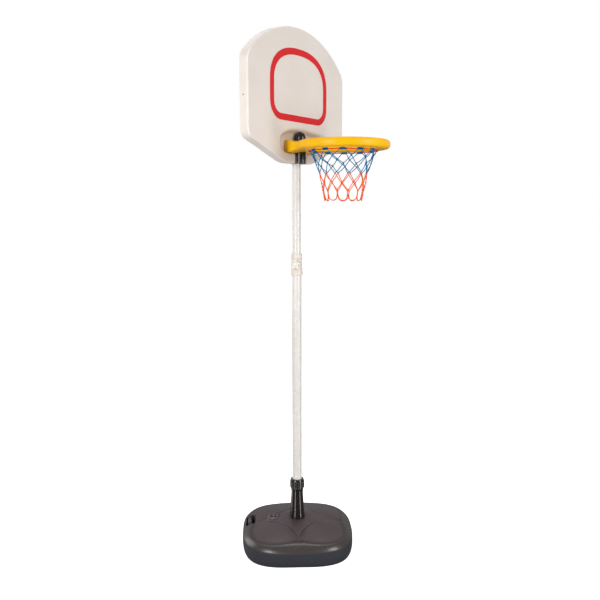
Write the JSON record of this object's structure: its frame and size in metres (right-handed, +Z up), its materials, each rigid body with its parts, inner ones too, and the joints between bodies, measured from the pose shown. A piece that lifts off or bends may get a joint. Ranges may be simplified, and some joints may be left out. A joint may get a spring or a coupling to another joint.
{
  "type": "portable basketball hoop",
  "caption": "Free-standing children's basketball hoop: fillable base, telescopic pole with clamp knob, arched backboard, thick round rim and laced two-tone net.",
  "frame": {"origin": "on the floor, on the pole's axis, at the middle of the base's flat underside", "axes": "+Z up along the pole; the backboard faces -Y and the rim reaches out along -Y; +X to the right of someone standing behind the board"},
  "size_m": [0.655, 0.6622, 2.142],
  "materials": {
    "base_plastic": "satin",
    "gloss_black": "gloss",
    "seal_rubber": "matte",
    "pole_paint": "gloss",
    "cream_plastic": "satin",
    "zinc_steel": "satin",
    "board_plastic": "satin",
    "red_decal": "satin",
    "rim_plastic": "gloss",
    "red_cord": "matte",
    "blue_cord": "matte",
    "orange_cord": "matte"
  },
  "bodies": {
    "base": {"base_tank": "base_plastic", "socket_tube": "gloss_black"},
    "collet_sleeve": {"collet_sleeve": "base_plastic"},
    "collet_nut": {"collet_nut": "gloss_black"},
    "cap_gasket": {"cap_gasket": "seal_rubber"},
    "filler_cap": {"filler_cap": "base_plastic"},
    "lower_pole": {"lower_tube": "pole_paint", "foot_plug": "base_plastic", "clamp_collar": "cream_plastic", "clamp_nut": "zinc_steel"},
    "clamp_stud": {"clamp_stud": "zinc_steel"},
    "star_knob": {"star_knob": "cream_plastic"},
    "upper_pole": {"upper_tube": "pole_paint", "glide_plug": "base_plastic", "pole_head": "gloss_black", "backboard": "board_plastic", "target_outline": "red_decal", "rim": "rim_plastic", "rim_screw_left": "zinc_steel", "rim_screw_right": "zinc_steel", "rim_washer_left": "zinc_steel", "rim_washer_right": "zinc_steel", "lacing_cord": "red_cord", "net_upper": "blue_cord", "net_lower": "orange_cord"}
  },
  "joints": [
    {"name": "pole_swivel", "type": "hinge", "parent": "base", "child": "lower_pole", "pos_m": [0, 0, 0.25], "axis": [0, 0, 1], "continuous": true},
    {"name": "height_slide", "type": "slide", "parent": "lower_pole", "child": "upper_pole", "axis": [0, 0, 1], "range_m": [-0.33, 0.16]},
    {"name": "collet_rise", "type": "slide", "parent": "base", "child": "collet_sleeve", "axis": [0, 0, 1], "range_m": [0, 0.006]},
    {"name": "collet_nut_turn", "type": "hinge", "parent": "collet_sleeve", "child": "collet_nut", "pos_m": [0, 0, 0.27], "axis": [0, 0, 1], "range_deg": [0, 720]},
    {"name": "cap_rise", "type": "slide", "parent": "base", "child": "cap_gasket", "axis": [0, 0, 1], "range_m": [0, 0.008]},
    {"name": "filler_cap_turn", "type": "hinge", "parent": "cap_gasket", "child": "filler_cap", "pos_m": [-0.04831, 0.09319, 0.108], "axis": [0, 0, 1], "range_deg": [0, 720]},
    {"name": "stud_travel", "type": "slide", "parent": "lower_pole", "child": "clamp_stud", "axis": [-0.887, -0.4617, 0], "range_m": [0, 0.00375]},
    {"name": "knob_turn", "type": "hinge", "parent": "clamp_stud", "child": "star_knob", "pos_m": [-0.03548, -0.01847, 1.211], "axis": [-0.887, -0.4617, 0], "range_deg": [0, 1080]}
  ],
  "couplings": [
    {"joint": "collet_rise", "follows": "collet_nut_turn", "m_per_rad": 0.00047746},
    {"joint": "cap_rise", "follows": "filler_cap_turn", "m_per_rad": 0.00063662},
    {"joint": "stud_travel", "follows": "knob_turn", "m_per_rad": 0.00019894}
  ]
}
